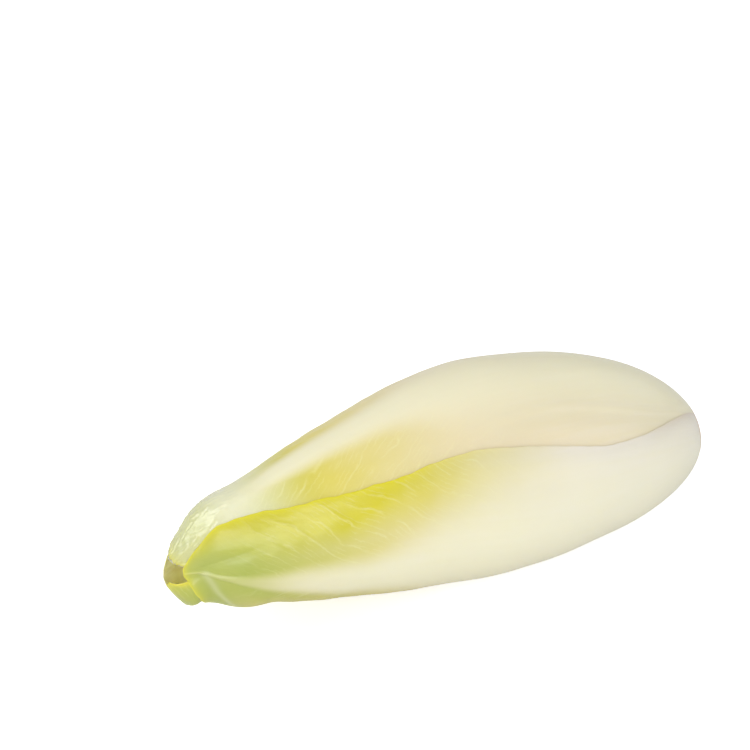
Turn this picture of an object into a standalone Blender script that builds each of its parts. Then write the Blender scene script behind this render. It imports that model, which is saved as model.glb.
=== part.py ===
"""A head of Belgian endive lying on its side: a core, eighteen wrapped leaves and a heart bud.

Metres, +Z up. The butt points to +X, the leaf tips to -X, and the belly rests on Z = 0.

Every leaf is a shell between two layers of the head. A point of the head is named by its layer
(1 on the outside, 0 on the axis), its station (0 at the butt, 1 at the tip) and its turn round
the axis (0 towards -Y, 90 upwards). Leaves that are kept apart in layer can't touch.
"""

import math

import bmesh
import bpy
import numpy as np

# The head
LENGTH = 0.150
RADIUS = 0.0281
WIDEST_STATION = 0.415
BUTT_RADIUS_SHARE = 0.30
BUTT_FULLNESS = 2.0
TIP_POWER = 1.43
TIP_FULLNESS = 0.58
TIP_CUT = 0.994
TIP_DROP = 0.0065
BUTT_DROP = 0.0067
BELLY_SINK = 0.0016
BELLY_DEPTH = 0.30

# Where the head is fuller than a turned shape: share of the radius, station, reach and turn
SWELLS = (
    (0.33, 0.94, 0.070, 125.0),
    (0.12, 0.895, 0.040, 300.0),
    (0.66, 0.978, 0.022, 288.0),
    (0.040, 0.50, 0.100, 130.0),
)

# The core
CORE_HEIGHT = 0.042
CORE_RIM_LAYER = 0.80
CORE_TOP_LAYER = 0.10
CORE_SIDES = 24
CORE_RINGS = 6

# The leaves
LEAF_COUNT = 18
OUTER_COUNT = 3
DIVERGENCE = 137.5
OUTER_GAP = 0.0005
INNER_GAP = 0.00072
BLADE_AT_BASE = 0.0008
BLADE_AT_TIP = 0.0005
RIB_LAYERS = 0.080
RIB_SPREAD = 30.0
TIP_SETBACK = 0.0065
CLOSE_TUCK = (0.003, 0.0095)
CLOSE_TIP_TUCK = (0.006, 0.020)
LOOSE_TUCK = (0.005, 0.018)
LOOSE_TIP_TUCK = (0.008, 0.030)
INNER_TIP_FIRST = 0.965
INNER_TIP_LAST = 0.62
INNER_HALF_FIRST = 96.0
INNER_HALF_LAST = 84.0
INNER_CORNER_DROP = 0.10
INNER_CORNER_POWER = 5.0
FIRST_INNER_TURN = 15.5
HOOD_TIP = 0.995
HOOD_HALF = 170.0
HOOD_WIDENS = (0.85, 0.91)
HOOD_CORNER = (0.012, 3.0)
HOOD_REACH = (0.945, 0.995)
HOOD_CURL = 0.72
LEAST_SCALE = 0.006
RIB_FADE = 1.3

# The heart bud
BUD_LAYER = 0.09
BUD_BASE = 0.03
BUD_TIP = 0.56
BUD_NECK = 0.55
BUD_SHOULDER = 3.0
BUD_TAPER = 0.97

# Fineness of the solids: stations along and columns across
OUTER_ROWS, OUTER_COLUMNS = 18, 18
INNER_ROWS, INNER_COLUMNS = 10, 11
BUD_RINGS, BUD_SIDES = 9, 12
SHARP_ANGLE = 40.0

IVORY = (0.86, 0.82, 0.70)
YELLOW_GREEN = (0.80, 0.80, 0.42)
PITH = (0.84, 0.76, 0.62)


class Leaf:
    """One leaf: where its edges run and the outline of its tip. Its rank counts the leaves over it."""

    def __init__(self, name, low_edge, high_edge, tip, crown, low_corner, high_corner, rank):
        self.name = name
        self.low_edge = low_edge
        self.high_edge = high_edge
        self.tip = tip
        self.crown = crown
        self.low_corner = low_corner
        self.high_corner = high_corner
        self.rank = rank
        self.outer = rank < OUTER_COUNT
        self.hooded = rank == OUTER_COUNT


def smooth_curve(points):
    """A function that runs smoothly through (station, degrees) points."""
    xs, ys = (np.array(column, dtype=float) for column in zip(*points))
    slopes = np.gradient(ys, xs)

    def value(x):
        i = np.clip(np.searchsorted(xs, x) - 1, 0, len(xs) - 2)
        width = xs[i + 1] - xs[i]
        t = np.clip((x - xs[i]) / width, 0.0, 1.0)
        start = (1 + 2 * t) * (1 - t) ** 2 * ys[i] + t * (1 - t) ** 2 * width * slopes[i]
        end = t * t * (3 - 2 * t) * ys[i + 1] + t * t * (t - 1) * width * slopes[i + 1]
        return start + end

    return value


def outer_leaves():
    """The three leaves that show, outermost first."""
    front_top = smooth_curve([(0.0, 60), (0.12, 41), (0.24, 35), (0.36, 42), (0.5, 50.5),
                              (0.66, 50), (0.78, 57), (0.9, 73), (1.0, 76)])
    front_low = smooth_curve([(0.0, -104), (0.4, -126), (0.8, -118), (1.0, -104)])
    upper_top = smooth_curve([(0.0, 172), (0.4, 186), (0.8, 182), (1.0, 176)])
    upper_low = smooth_curve([(0.0, 22), (0.3, 4), (0.8, 14), (1.0, 24)])
    back_top = smooth_curve([(0.0, 334), (0.4, 322), (0.8, 338), (0.92, 363),
                             (0.98, 366), (1.0, 346)])
    back_low = smooth_curve([(0.0, 142), (0.4, 134), (0.8, 138), (1.0, 142)])
    return [
        Leaf("outer_leaf_front", front_low, front_top, 0.978, 0.45, (0.070, 1.4), (0.065, 4.0), 0),
        Leaf("outer_leaf_upper", upper_low, upper_top, 0.990, -0.10, (0.030, 2.0), (0.040, 2.5), 1),
        Leaf("outer_leaf_back", back_low, back_top, 1.001, -0.45, (0.013, 2.0), (0.001, 1.8), 2),
    ]


def inner_leaf(rank):
    """A wrapped leaf: each is turned on by the same angle, and is shorter and narrower.

    The first of them is the longest, and folds over the tip like a hood.
    """
    share = (rank - OUTER_COUNT) / (LEAF_COUNT - OUTER_COUNT - 1)
    middle = FIRST_INNER_TURN + DIVERGENCE * (rank - OUTER_COUNT)
    half = INNER_HALF_FIRST + (INNER_HALF_LAST - INNER_HALF_FIRST) * share
    tip = INNER_TIP_FIRST + (INNER_TIP_LAST - INNER_TIP_FIRST) * share
    corner, end_half = (INNER_CORNER_DROP, INNER_CORNER_POWER), half
    if rank == OUTER_COUNT:
        tip, corner, end_half = HOOD_TIP, HOOD_CORNER, HOOD_HALF
    halves = ((0.0, half), (HOOD_WIDENS[0], half), (HOOD_WIDENS[1], half), (1.0, end_half))
    low_edge = smooth_curve([(station, middle - wide) for station, wide in halves])
    high_edge = smooth_curve([(station, middle + wide) for station, wide in halves])
    return Leaf(f"leaf_{rank + 1:02d}", low_edge, high_edge, tip, 0.0, corner, corner, rank)


def head_radius(station):
    """The head's radius: an ellipse towards the butt, a fuller taper towards the tip."""
    to_butt = np.clip((WIDEST_STATION - station) / WIDEST_STATION, 0.0, 1.0)
    to_tip = np.clip((station - WIDEST_STATION) / (1.0 - WIDEST_STATION), 0.0, 1.004)
    butt = np.sqrt(1.0 - (1.0 - BUTT_RADIUS_SHARE ** 2) * to_butt ** BUTT_FULLNESS)
    tip = (1.0 - (TIP_CUT * to_tip) ** TIP_POWER) ** TIP_FULLNESS
    return RADIUS * np.where(station <= WIDEST_STATION, butt, tip)


def fullness(station, turn):
    """How much fuller the head is than a turned shape at a point."""
    full = np.ones_like(station)
    for share, middle, reach, side in SWELLS:
        along = np.exp(-((station - middle) / reach) ** 2)
        full = full + share * along * np.clip(np.cos(np.radians(turn - side)), 0.0, 1.0)
    return full


def core_rise(layer):
    """How far above the butt plane a layer starts: the flank of the core's cone."""
    inside = np.clip((CORE_RIM_LAYER - layer) / CORE_RIM_LAYER, 0.0, 1.0)
    return CORE_HEIGHT * inside


def layer_scale(station):
    """Metres of leaf thickness for one whole layer unit at a station."""
    past = station > WIDEST_STATION
    return np.where(past, np.maximum(head_radius(station), LEAST_SCALE), RADIUS)


def head_point(layer, station, turn):
    """The place in space of a point of the head."""
    start = core_rise(layer)
    end = LENGTH - TIP_SETBACK * (1.0 - layer)
    along = start + station * (end - start)
    full = head_radius(station) * fullness(station, turn)
    radius = layer * full
    share = np.clip(along / LENGTH, 0.0, 1.0)
    to_butt = np.clip((WIDEST_STATION - share) / WIDEST_STATION, 0.0, 1.0)
    to_tip = np.clip((share - WIDEST_STATION) / (1.0 - WIDEST_STATION), 0.0, 1.0)
    middle = RADIUS - BELLY_SINK - TIP_DROP * to_tip ** 2 - BUTT_DROP * to_butt ** 2
    angle = np.radians(turn)
    y = -radius * np.cos(angle)
    z = middle + radius * np.sin(angle)
    skin = middle + full * np.sin(angle)
    lift = np.maximum(0.0, -skin) * np.clip((layer - 1.0) / BELLY_DEPTH + 1.0, 0.0, 1.0)
    return np.stack([LENGTH / 2 - along, y, z + lift], axis=-1)


def edges_at(leaf, station):
    """A leaf's middle turn and half its angular width at a station."""
    low, high = leaf.low_edge(station), leaf.high_edge(station)
    return (low + high) / 2, (high - low) / 2


def leaf_end(leaf, across):
    """The station at which a leaf ends, for a place across it from -1 to 1."""
    past = np.clip(across, -1.0, 1.0) - leaf.crown
    low_drop, low_power = leaf.low_corner
    high_drop, high_power = leaf.high_corner
    low = low_drop * np.clip(-past / (1.0 + leaf.crown), 0.0, 1.0) ** low_power
    high = high_drop * np.clip(past / (1.0 - leaf.crown), 0.0, 1.0) ** high_power
    return leaf.tip - low - high


def turn_apart(turn, middle):
    """The signed angle from a leaf's middle, between -180 and 180."""
    return (turn - middle + 180.0) % 360.0 - 180.0


def fade_out(distance, reach):
    """1 up to a first distance and 0 from a second one, smooth between the two."""
    t = np.clip((distance - reach[0]) / (reach[1] - reach[0]), 0.0, 1.0)
    return 1.0 - t * t * (3.0 - 2.0 * t)


def cover(leaf, station, turn, close):
    """1 under a leaf, 0 clear of it; the slope past its edges is short where it lies close."""
    middle, half = edges_at(leaf, station)
    apart = turn_apart(turn, middle)
    past_side = np.radians(np.abs(apart) - half) * layer_scale(station)
    past_tip = (station - leaf_end(leaf, apart / half)) * LENGTH
    side = fade_out(past_side, CLOSE_TUCK if close else LOOSE_TUCK)
    return side * fade_out(past_tip, CLOSE_TIP_TUCK if close else LOOSE_TIP_TUCK)


def thickness(leaf, station, turn):
    """A leaf's thickness in layers: a thin blade with a stout rib down its middle."""
    middle, _ = edges_at(leaf, station)
    share = np.clip(station / leaf.tip, 0.0, 1.0)
    blade = (BLADE_AT_BASE + (BLADE_AT_TIP - BLADE_AT_BASE) * share) / layer_scale(station)
    fade = np.clip((share - WIDEST_STATION) / (1.0 - WIDEST_STATION), 0.0, 1.0)
    hump = np.exp(-0.5 * (turn_apart(turn, middle) / RIB_SPREAD) ** 2)
    return blade + RIB_LAYERS * (1.0 - fade ** RIB_FADE) * hump


def depth_of_leaves(leaves, station, turn):
    """How many layers the given leaves take up over a point of the next leaf in."""
    close = len(leaves) < OUTER_COUNT
    gap = (OUTER_GAP if close else INNER_GAP) / layer_scale(station)
    depth = np.zeros_like(station)
    for leaf in leaves:
        depth += cover(leaf, station, turn, close) * (thickness(leaf, station, turn) + gap)
    return depth


def leaf_grid(leaf, rows, columns):
    """Stations and turns of a leaf's grid, closer together near its two ends."""
    along = (1.0 - np.cos(np.pi * np.linspace(0.0, 1.0, rows + 1))) / 2
    across = np.linspace(-1.0, 1.0, columns + 1)
    along, across = np.meshgrid(along, across, indexing="ij")
    station = along * leaf_end(leaf, across)
    middle, half = edges_at(leaf, station)
    return station, middle + across * half


def shell(name, outside, inside, material):
    """A closed shell between two grids of points, walled in round their shared border."""
    rows, columns = outside.shape[:2]
    mesh = bpy.data.meshes.new(name)
    build = bmesh.new()
    skins = [[[build.verts.new(skin[i, j]) for j in range(columns)] for i in range(rows)]
             for skin in (outside, inside)]
    for i in range(rows - 1):
        for j in range(columns - 1):
            top, bottom = ([s[i][j], s[i + 1][j], s[i + 1][j + 1], s[i][j + 1]] for s in skins)
            build.faces.new(top)
            build.faces.new(bottom[::-1])
    border = [(i, 0) for i in range(rows)] + [(rows - 1, j) for j in range(1, columns)]
    border += [(i, columns - 1) for i in range(rows - 2, -1, -1)]
    border += [(0, j) for j in range(columns - 2, 0, -1)]
    for (i, j), (m, n) in zip(border, border[1:] + border[:1]):
        build.faces.new([skins[0][i][j], skins[1][i][j], skins[1][m][n], skins[0][m][n]])
    close_mesh(build, mesh)
    return add_object(name, mesh, material)


def close_mesh(build, mesh):
    """Write a closed shape into a mesh as triangles that face outwards."""
    bmesh.ops.triangulate(build, faces=build.faces)
    bmesh.ops.recalc_face_normals(build, faces=build.faces)
    build.to_mesh(mesh)
    build.free()


def add_object(name, mesh, material):
    """An object for a mesh, shaded smooth except at its sharp borders."""
    mesh.materials.append(material)
    mesh.shade_smooth()
    mesh.set_sharp_from_angle(angle=math.radians(SHARP_ANGLE))
    item = bpy.data.objects.new(name, mesh)
    bpy.context.collection.objects.link(item)
    return item


def make_leaf(leaf, leaves, material):
    """One leaf, under all the leaves that lie outside it."""
    fine = leaf.outer or leaf.hooded
    rows, columns = (OUTER_ROWS, OUTER_COLUMNS) if fine else (INNER_ROWS, INNER_COLUMNS)
    station, turn = leaf_grid(leaf, rows, columns)
    top = 1.0 - depth_of_leaves(leaves[:leaf.rank], station, turn)
    if leaf.hooded:
        top *= 1.0 - HOOD_CURL * (1.0 - fade_out(station, HOOD_REACH))
    bottom = top - thickness(leaf, station, turn)
    outside = head_point(top, station, turn)
    outside[..., 2] = np.maximum(outside[..., 2], 0.0)
    return shell(leaf.name, outside, head_point(bottom, station, turn), material)


def ringed(name, rings, material):
    """A solid with a skin over rings of points and a flat face at each end."""
    mesh = bpy.data.meshes.new(name)
    build = bmesh.new()
    rings = [[build.verts.new(point) for point in ring] for ring in rings]
    for ring, after in zip(rings, rings[1:]):
        for i in range(len(ring)):
            j = (i + 1) % len(ring)
            build.faces.new([ring[i], ring[j], after[j], after[i]])
    build.faces.new(rings[0][::-1])
    build.faces.new(rings[-1])
    close_mesh(build, mesh)
    return add_object(name, mesh, material)


def round_points(layer, station, sides):
    """A ring of points round the head at one layer and station."""
    turns = np.arange(sides) * 360.0 / sides
    return head_point(np.full(sides, layer), np.full(sides, station), turns)


def make_core(material):
    """The stem: a cone inside the leaf bases, with its flat cut face at the butt."""
    rings = []
    for layer in np.linspace(CORE_RIM_LAYER, CORE_TOP_LAYER, CORE_RINGS):
        points = round_points(layer, 0.0, CORE_SIDES)
        arms = points - points.mean(axis=0)
        reach = np.linalg.norm(arms, axis=1, keepdims=True)
        rings.append(points - arms * OUTER_GAP / reach)
    return ringed("core", rings, material)


def make_bud(material):
    """The heart bud: a slim spindle above the core, inside the last leaf."""
    rings = []
    for share in np.linspace(0.0, 1.0, BUD_RINGS):
        station = BUD_BASE + (BUD_TIP - BUD_BASE) * share
        neck = min(1.0, BUD_NECK + (1.0 - BUD_NECK) * share * BUD_SHOULDER)
        layer = BUD_LAYER * neck * math.sqrt(1.0 - BUD_TAPER * share ** 2)
        rings.append(round_points(layer, station, BUD_SIDES))
    return ringed("heart_bud", rings, material)


def finish(name, colour, roughness):
    """A plain material."""
    material = bpy.data.materials.new(name)
    material.use_nodes = True
    shader = material.node_tree.nodes["Principled BSDF"]
    shader.inputs["Base Color"].default_value = (*colour, 1.0)
    shader.inputs["Roughness"].default_value = roughness
    shader.inputs["Metallic"].default_value = 0.0
    return material


def main():
    """Clear the scene, then build the leaves, the core and the bud."""
    for item in list(bpy.data.objects):
        bpy.data.objects.remove(item, do_unlink=True)
    leaves = outer_leaves() + [inner_leaf(rank) for rank in range(OUTER_COUNT, LEAF_COUNT)]
    for leaf in leaves:
        colour = IVORY if leaf.outer else YELLOW_GREEN
        make_leaf(leaf, leaves, finish(f"{leaf.name}_skin", colour, 0.4))
    make_core(finish("core_flesh", PITH, 0.6))
    make_bud(finish("heart_bud_skin", YELLOW_GREEN, 0.5))


main()
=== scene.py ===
"""A head of Belgian endive on a pale floor, with every leaf, the heart bud and the cut core finished.

The head is described in its own coordinates. A point is named by its layer (1 on the outside, 0 on
the axis), its station (0 at the butt, 1 at the tip) and its turn round the axis (0 towards -Y, 90
upwards). Each leaf starts as a flat slab, which is wrapped round the head between two layers.
"""

import logging
import math
from dataclasses import dataclass
from enum import Enum

import bpy
import numpy as np
from mathutils import Matrix, Vector


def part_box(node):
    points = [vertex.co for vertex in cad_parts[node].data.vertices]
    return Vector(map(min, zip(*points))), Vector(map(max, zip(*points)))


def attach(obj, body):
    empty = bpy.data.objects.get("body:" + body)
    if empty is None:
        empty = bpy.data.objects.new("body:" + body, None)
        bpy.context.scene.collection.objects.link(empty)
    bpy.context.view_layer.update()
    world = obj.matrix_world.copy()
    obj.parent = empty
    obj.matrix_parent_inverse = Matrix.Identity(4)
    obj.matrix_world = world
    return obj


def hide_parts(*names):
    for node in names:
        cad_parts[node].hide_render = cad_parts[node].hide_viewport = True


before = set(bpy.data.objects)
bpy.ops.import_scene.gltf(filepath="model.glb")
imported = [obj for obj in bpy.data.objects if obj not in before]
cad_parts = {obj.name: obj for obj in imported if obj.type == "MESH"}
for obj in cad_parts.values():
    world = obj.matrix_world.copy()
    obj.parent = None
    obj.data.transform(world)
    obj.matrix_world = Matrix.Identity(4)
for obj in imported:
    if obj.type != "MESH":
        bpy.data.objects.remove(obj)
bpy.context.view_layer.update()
LOG = logging.getLogger("endive")

Array = np.ndarray
Piece = bpy.types.Object
Finish = bpy.types.Material
Tree = bpy.types.NodeTree
Socket = bpy.types.NodeSocket
Colour = tuple[float, float, float]
Triple = tuple[float, float, float]
Pair = tuple[float, float]
Knots = tuple[Pair, ...]
Waves = tuple[Triple, ...]

WHITE = (1.0, 1.0, 1.0, 1.0)
EDGE_WAVES: Waves = ((1.0, 11.0, 1.0), (0.6, 23.0, 2.0), (0.35, 41.0, 5.0))
EDGE_WAVER = 0.55
EDGE_WAVER_AT_BASE = 0.25
EDGE_LAG = 0.03
TIP_WAVES: Waves = ((0.0016, 14.0, 1.0), (0.0009, 31.0, 0.0))

BRANCH_WIDTH = 0.09
BRANCH_SCALE = 170.0
BRANCH_PATCHES = (0.36, 0.60)
VEIN_SWAY = 0.90
TWIG_SCALE = 900.0
TWIG_WIDTH = 0.20
TWIGS_PER_BRANCH = 3.6
TWIG_PATCH_SCALE = 260.0
TWIG_PATCHES = (0.42, 0.62)
MOTTLE_SCALE = 55.0
CELL_SCALE = 1500.0
CELL_SHARE = 0.4
GRAIN_SCALE = 700.0


class LeafRole(Enum):
    """Where a leaf stands in the head, which sets its finish."""

    OUTER = "outer_leaf"
    INNER = "inner_leaf"


def ease(value: Array, start: float, end: float) -> Array:
    """Rise smoothly from 0 to 1 between two values.

    Args:
        value: The numbers to ease.
        start: Where the result is still 0.
        end: Where the result reaches 1; it may be below start.

    Returns:
        Numbers from 0 to 1.
    """
    t = np.clip((value - start) / (end - start), 0.0, 1.0)
    return t * t * (3.0 - 2.0 * t)


def bell(away: Array, reach: float) -> Array:
    """Give 1 in the middle of a soft patch, and less the further away."""
    return np.exp(-(away / reach) ** 2)


def waver(waves: Waves, run: Array, rank: int) -> Array:
    """Add up waves, each with a height, a pace, and a shift from one leaf to the next."""
    return sum(height * np.sin(pace * run + shift * rank) for height, pace, shift in waves)


def linear(red: int, green: int, blue: int) -> Colour:
    """Turn a colour as seen on a screen into a linear one.

    Args:
        red: Red from 0 to 255.
        green: Green from 0 to 255.
        blue: Blue from 0 to 255.

    Returns:
        The linear colour that shaders take.
    """
    def one(level: int) -> float:
        """Return one linear channel."""
        share = level / 255.0
        return share / 12.92 if share <= 0.04045 else ((share + 0.055) / 1.055) ** 2.4

    return one(red), one(green), one(blue)


@dataclass(frozen=True)
class Curve:
    """A smooth line through (station, value) knots."""

    knots: Knots

    def at(self, station: Array) -> Array:
        """Read the line.

        Args:
            station: Where to read it.

        Returns:
            Its values there.
        """
        xs, ys = (np.array(column, dtype=float) for column in zip(*self.knots))
        slopes = np.gradient(ys, xs)
        i = np.clip(np.searchsorted(xs, station) - 1, 0, len(xs) - 2)
        width = xs[i + 1] - xs[i]
        t = np.clip((station - xs[i]) / width, 0.0, 1.0)
        start = (1 + 2 * t) * (1 - t) ** 2 * ys[i] + t * (1 - t) ** 2 * width * slopes[i]
        end = t * t * (3 - 2 * t) * ys[i + 1] + t * t * (t - 1) * width * slopes[i + 1]
        return start + end


@dataclass(frozen=True)
class Rise:
    """A share that rises from nothing at one station to its most at another."""

    start: float
    full: float
    most: float = 1.0

    def at(self, station: Array) -> Array:
        """Read the share at stations along the head."""
        return self.most * ease(station, self.start, self.full)


@dataclass(frozen=True)
class Blush:
    """A soft patch of colour round one station."""

    middle: float = 0.5
    reach: float = 1.0
    most: float = 0.0

    def at(self, station: Array) -> Array:
        """Read the share at stations along the head."""
        return self.most * bell(station - self.middle, self.reach)


@dataclass(frozen=True)
class Corner:
    """How far a leaf's tip edge falls back towards one side, and how suddenly."""

    depth: float
    power: float

    def at(self, share: Array) -> Array:
        """Read the fall at shares of the way to the side."""
        return self.depth * np.clip(share, 0.0, 1.0) ** self.power


@dataclass(frozen=True)
class Swell:
    """A place where the head is fuller than a turned shape."""

    share: float
    station: float
    reach: float
    turn: float


@dataclass(frozen=True)
class HeadForm:
    """The form of the whole head: its girth, its bend, its flat belly and its soft ripples."""

    length: float
    radius: float = 0.0281
    widest: float = 0.415
    butt_share: float = 0.30
    butt_fullness: float = 2.0
    tip_power: float = 1.43
    tip_fullness: float = 0.58
    tip_cut: float = 0.994
    tip_drop: float = 0.0065
    butt_drop: float = 0.0067
    belly_sink: float = 0.0016
    belly_depth: float = 0.30
    tip_setback: float = 0.0065
    core_height: float = 0.042
    core_rim_layer: float = 0.80
    least_scale: float = 0.006
    ripple_seed: int = 11
    ripple_count: int = 12
    ripple_depth: float = 0.0011
    ripple_waves: Pair = (1.5, 7.0)
    ripple_turns: int = 3
    pucker: Rise = Rise(0.55, 0.90, 0.0011)
    pucker_waves: Pair = (10.0, 20.0)
    pucker_turns: int = 8
    tip_reach: float = 1.004
    swells: tuple[Swell, ...] = (
        Swell(0.33, 0.94, 0.070, 125.0),
        Swell(0.12, 0.895, 0.040, 300.0),
        Swell(0.66, 0.978, 0.022, 288.0),
        Swell(0.040, 0.50, 0.100, 130.0),
    )

    def girth(self, station: Array) -> Array:
        """Give the head's radius.

        Args:
            station: Where along the head.

        Returns:
            The radius in metres: an ellipse towards the butt, a fuller taper towards the tip.
        """
        to_butt = np.clip((self.widest - station) / self.widest, 0.0, 1.0)
        to_tip = np.clip((station - self.widest) / (1.0 - self.widest), 0.0, self.tip_reach)
        butt = np.sqrt(1.0 - (1.0 - self.butt_share ** 2) * to_butt ** self.butt_fullness)
        tip = (1.0 - (self.tip_cut * to_tip) ** self.tip_power) ** self.tip_fullness
        return self.radius * np.where(station <= self.widest, butt, tip)

    def fullness(self, station: Array, turn: Array) -> Array:
        """Give how much fuller the head is than a turned shape.

        Args:
            station: Where along the head.
            turn: Where round it, in degrees.

        Returns:
            A factor for the radius, with the swells and the soft ripples of the surface.
        """
        full = np.ones_like(station)
        for swell in self.swells:
            along = bell(station - swell.station, swell.reach)
            side = np.clip(np.cos(np.radians(turn - swell.turn)), 0.0, 1.0)
            full = full + swell.share * along * side
        draw = np.random.default_rng(self.ripple_seed)
        for depth, waves, turns in ((self.ripple_depth, self.ripple_waves, self.ripple_turns),
                                    (self.pucker.at(station), self.pucker_waves, self.pucker_turns)):
            for _ in range(self.ripple_count):
                along, around = draw.uniform(*waves), draw.integers(-turns, turns + 1)
                phase = 2.0 * math.pi * (along * station + draw.uniform(0.0, 1.0))
                full = full + depth * np.sin(phase + around * np.radians(turn))
        return full

    def layer_scale(self, station: Array) -> Array:
        """Give the metres of leaf thickness in one whole layer unit at a station."""
        narrow = np.maximum(self.girth(station), self.least_scale)
        return np.where(station > self.widest, narrow, self.radius)

    def point(self, layer: Array, station: Array, turn: Array) -> Array:
        """Find the place in space of a point of the head.

        Args:
            layer: 1 on the outside, 0 on the axis.
            station: 0 at the butt, 1 at the tip.
            turn: Degrees round the axis.

        Returns:
            The places, with x, y and z on the last axis.
        """
        inside = np.clip((self.core_rim_layer - layer) / self.core_rim_layer, 0.0, 1.0)
        start = self.core_height * inside
        end = self.length - self.tip_setback * (1.0 - layer)
        along = start + station * (end - start)
        full = self.girth(station) * self.fullness(station, turn)
        share = np.clip(along / self.length, 0.0, 1.0)
        to_butt = np.clip((self.widest - share) / self.widest, 0.0, 1.0)
        to_tip = np.clip((share - self.widest) / (1.0 - self.widest), 0.0, 1.0)
        drop = self.tip_drop * to_tip ** 2
        middle = self.radius - self.belly_sink - drop - self.butt_drop * to_butt ** 2
        angle = np.radians(turn)
        y = -layer * full * np.cos(angle)
        z = middle + layer * full * np.sin(angle)
        skin = middle + full * np.sin(angle)
        depth = np.clip((layer - 1.0) / self.belly_depth + 1.0, 0.0, 1.0)
        return np.stack([self.length / 2 - along, y, z + np.maximum(0.0, -skin) * depth], axis=-1)


@dataclass(frozen=True)
class LeafForm:
    """The outline of one leaf, the run of its midrib, and how its colours spread."""

    node: str
    rank: int
    low_edge: Curve
    high_edge: Curve
    tip: float
    crown: float
    low_corner: Corner
    high_corner: Corner
    rib_line: Curve
    rib_half: Curve
    blade_yellow: Rise = Rise(0.40, 0.74, 0.80)
    edge_yellow: Rise = Rise(0.22, 0.60)
    edge_reach: Pair = (0.0060, 0.0045)
    green: Rise = Rise(0.66, 0.92, 0.75)
    # Painted light: how much green is taken off the front leaf's belly, standing in for light bounced up
    # from the floor.
    belly_painted_light: float = 0.0
    rib_fade: Rise = Rise(0.60, 0.96, 0.65)
    veins_rise: Rise = Rise(0.34, 0.60)
    veins_end: Rise = Rise(1.10, 1.00)
    # Painted highlight: a pale wash on the blade towards the tip, partly the leaf's own pale tone and
    # partly a highlight.
    pale_and_painted_highlight: Rise = Rise(1.0, 1.1, 0.0)
    warmth: float = 0.0
    blush: Blush = Blush()
    blistered: float = 0.0
    tip_waver: float = 1.0
    wave_growth: Rise = Rise(0.35, 0.95)
    seam: Curve | None = None
    ridge: Curve | None = None
    hooded: bool = False
    rows: int = 210
    columns: int = 170

    @property
    def role(self) -> LeafRole:
        """Tell an outer leaf from an inner one."""
        return LeafRole.OUTER if self.rank < 3 else LeafRole.INNER

    def wave(self, station: Array) -> Array:
        """Give the waver of the leaf's edges, in degrees, which grows towards the tip."""
        growth = EDGE_WAVER_AT_BASE + (1.0 - EDGE_WAVER_AT_BASE) * self.wave_growth.at(station)
        return EDGE_WAVER * waver(EDGE_WAVES, 2.0 * math.pi * station, self.rank) * growth

    def span(self, station: Array) -> tuple[Array, Array]:
        """Give the leaf's middle turn and half its angular width, in degrees.

        Args:
            station: Where along the head.

        Returns:
            The middle turn and half the width.
        """
        low = self.low_edge.at(station) - self.wave(station + EDGE_LAG)
        high = self.high_edge.at(station) + self.wave(station)
        return (low + high) / 2.0, (high - low) / 2.0

    def end(self, across: Array) -> Array:
        """Give the station at which the leaf ends.

        Args:
            across: The place across the leaf, from -1 to 1.

        Returns:
            The station of its tip edge, with a slight waver.
        """
        past = np.clip(across, -1.0, 1.0) - self.crown
        low = self.low_corner.at(-past / (1.0 + self.crown))
        high = self.high_corner.at(past / (1.0 - self.crown))
        return self.tip - low - high + self.tip_waver * waver(TIP_WAVES, across, self.rank)


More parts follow.
